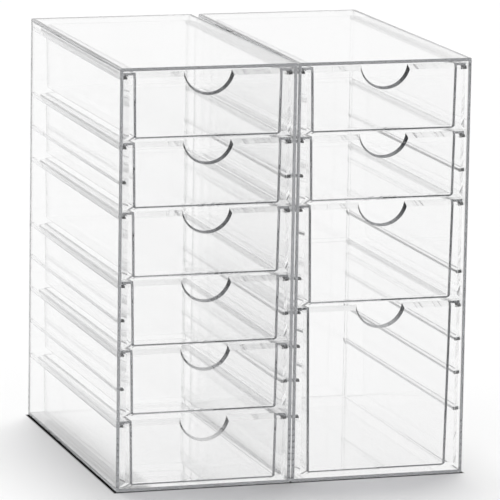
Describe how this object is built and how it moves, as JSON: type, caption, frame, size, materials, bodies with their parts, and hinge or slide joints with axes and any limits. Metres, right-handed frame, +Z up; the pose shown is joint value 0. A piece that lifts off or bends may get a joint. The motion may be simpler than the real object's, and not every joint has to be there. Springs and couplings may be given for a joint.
{
  "type": "craft stamp storage drawers",
  "caption": "Pair of clear open-front plastic cases that hold stacks of clear hanging drawers with bevelled fronts and half-moon finger notches.",
  "frame": {"origin": "on the table, at the centre of the pair's footprint", "axes": "+X to the right seen from the front, +Y from the open fronts to the backs, +Z up"},
  "size_m": [0.2668, 0.26, 0.3114],
  "materials": {
    "clear_case": "polished crystal-clear plastic",
    "clear_front": "polished crystal-clear plastic, thick",
    "clear_tray": "polished crystal-clear plastic, thin"
  },
  "bodies": {
    "cases": {"left_case_top": "clear_case", "left_case_floor": "clear_case", "left_case_back": "clear_case", "left_case_outer_side": "clear_case", "left_case_inner_side": "clear_case", "right_case_top": "clear_case", "right_case_floor": "clear_case", "right_case_back": "clear_case", "right_case_outer_side": "clear_case", "right_case_inner_side": "clear_case"},
    "left_drawer_1": {"left_drawer_1_front": "clear_front", "left_drawer_1_tray": "clear_tray"},
    "left_drawer_2": {"left_drawer_2_front": "clear_front", "left_drawer_2_tray": "clear_tray"},
    "left_drawer_3": {"left_drawer_3_front": "clear_front", "left_drawer_3_tray": "clear_tray"},
    "left_drawer_4": {"left_drawer_4_front": "clear_front", "left_drawer_4_tray": "clear_tray"},
    "left_drawer_5": {"left_drawer_5_front": "clear_front", "left_drawer_5_tray": "clear_tray"},
    "left_drawer_6": {"left_drawer_6_front": "clear_front", "left_drawer_6_tray": "clear_tray"},
    "right_drawer_1": {"right_drawer_1_front": "clear_front", "right_drawer_1_tray": "clear_tray"},
    "right_drawer_2": {"right_drawer_2_front": "clear_front", "right_drawer_2_tray": "clear_tray"},
    "right_drawer_3": {"right_drawer_3_front": "clear_front", "right_drawer_3_tray": "clear_tray"},
    "right_drawer_4": {"right_drawer_4_front": "clear_front", "right_drawer_4_tray": "clear_tray"}
  },
  "joints": [
    {"name": "left_drawer_1_slide", "type": "slide", "parent": "cases", "child": "left_drawer_1", "axis": [0, -1, 0], "range_m": [0, 0.2]},
    {"name": "left_drawer_2_slide", "type": "slide", "parent": "cases", "child": "left_drawer_2", "axis": [0, -1, 0], "range_m": [0, 0.2]},
    {"name": "left_drawer_3_slide", "type": "slide", "parent": "cases", "child": "left_drawer_3", "axis": [0, -1, 0], "range_m": [0, 0.2]},
    {"name": "left_drawer_4_slide", "type": "slide", "parent": "cases", "child": "left_drawer_4", "axis": [0, -1, 0], "range_m": [0, 0.2]},
    {"name": "left_drawer_5_slide", "type": "slide", "parent": "cases", "child": "left_drawer_5", "axis": [0, -1, 0], "range_m": [0, 0.2]},
    {"name": "left_drawer_6_slide", "type": "slide", "parent": "cases", "child": "left_drawer_6", "axis": [0, -1, 0], "range_m": [0, 0.2]},
    {"name": "right_drawer_1_slide", "type": "slide", "parent": "cases", "child": "right_drawer_1", "axis": [0, -1, 0], "range_m": [0, 0.2]},
    {"name": "right_drawer_2_slide", "type": "slide", "parent": "cases", "child": "right_drawer_2", "axis": [0, -1, 0], "range_m": [0, 0.2]},
    {"name": "right_drawer_3_slide", "type": "slide", "parent": "cases", "child": "right_drawer_3", "axis": [0, -1, 0], "range_m": [0, 0.2]},
    {"name": "right_drawer_4_slide", "type": "slide", "parent": "cases", "child": "right_drawer_4", "axis": [0, -1, 0], "range_m": [0, 0.2]}
  ]
}
